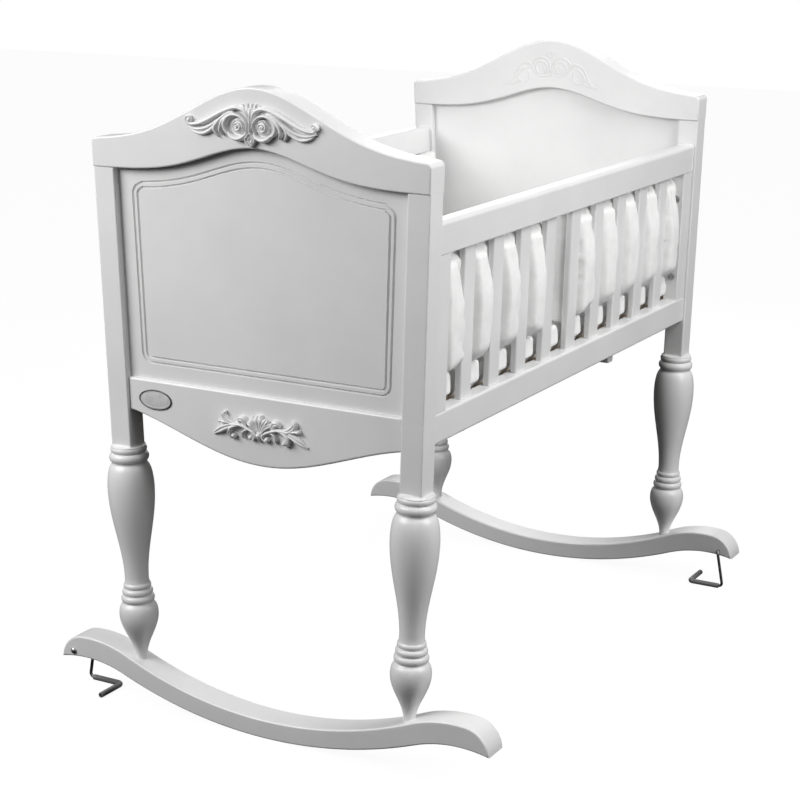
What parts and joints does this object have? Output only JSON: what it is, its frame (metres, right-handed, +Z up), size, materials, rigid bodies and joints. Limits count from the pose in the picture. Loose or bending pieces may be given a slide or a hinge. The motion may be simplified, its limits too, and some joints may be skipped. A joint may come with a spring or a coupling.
{
  "type": "baby crib",
  "caption": "Rocking baby cradle on curved runners, with turned legs, panelled arched ends, slatted sides, mattress and bumpers, and a wire stopper at each end.",
  "frame": {"origin": "on the floor, under the centre of the cradle (the centre of the bounding box's underside)", "axes": "+Z up; +Y along the length, from the foot end to the head end; +X to the right as seen from the foot end, the rocking direction"},
  "size_m": [0.7658, 1.036, 0.977],
  "materials": {
    "white_paint": "satin white paint on solid wood",
    "bare_wood": "unpainted",
    "white_fabric": "soft woven cotton",
    "steel_rod": "drawn wire",
    "plated_hardware": "zinc plated",
    "rubber_sleeve": "matt",
    "brass": "plain",
    "plate_metal": "satin"
  },
  "bodies": {
    "frame": {"post_foot_left": "white_paint", "post_foot_right": "white_paint", "post_head_left": "white_paint", "post_head_right": "white_paint", "crest_rail_foot": "white_paint", "crest_rail_head": "white_paint", "end_panel_foot": "white_paint", "end_panel_head": "white_paint", "apron_foot": "white_paint", "apron_head": "white_paint", "rocker_foot": "white_paint", "rocker_head": "white_paint", "crest_carvings": "white_paint", "apron_carvings": "white_paint", "oval_plate": "plate_metal", "top_rail_left": "white_paint", "top_rail_right": "white_paint", "bottom_rail_left": "white_paint", "bottom_rail_right": "white_paint", "stile_foot_left": "white_paint", "stile_foot_right": "white_paint", "stile_head_left": "white_paint", "stile_head_right": "white_paint", "slat_left_1": "white_paint", "slat_left_2": "white_paint", "slat_left_3": "white_paint", "slat_left_4": "white_paint", "slat_left_5": "white_paint", "slat_left_6": "white_paint", "slat_left_7": "white_paint", "slat_left_8": "white_paint", "slat_left_9": "white_paint", "slat_right_1": "white_paint", "slat_right_2": "white_paint", "slat_right_3": "white_paint", "slat_right_4": "white_paint", "slat_right_5": "white_paint", "slat_right_6": "white_paint", "slat_right_7": "white_paint", "slat_right_8": "white_paint", "slat_right_9": "white_paint", "side_bolts": "plated_hardware", "bolt_washers": "plated_hardware", "thread_inserts": "brass", "dowels": "bare_wood", "ledger_cleats": "bare_wood", "cross_batten": "white_paint", "mattress_board": "bare_wood", "mattress": "white_fabric", "bumper_foot_left": "white_fabric", "bumper_foot_right": "white_fabric", "bumper_head_left": "white_fabric", "bumper_head_right": "white_fabric"},
    "foot_stopper": {"stopper_rod_foot": "steel_rod", "stopper_sleeve_foot": "rubber_sleeve", "stopper_cap_foot": "plated_hardware"},
    "head_stopper": {"stopper_rod_head": "steel_rod", "stopper_sleeve_head": "rubber_sleeve", "stopper_cap_head": "plated_hardware"}
  },
  "joints": [
    {"name": "foot_stopper_pivot", "type": "hinge", "parent": "frame", "child": "foot_stopper", "pos_m": [-0.35886, -0.482, 0.06998], "axis": [0, 1, 0], "range_deg": [-33, 284]},
    {"name": "head_stopper_pivot", "type": "hinge", "parent": "frame", "child": "head_stopper", "pos_m": [0.35886, 0.482, 0.06998], "axis": [0, -1, 0], "range_deg": [-33, 284]}
  ]
}
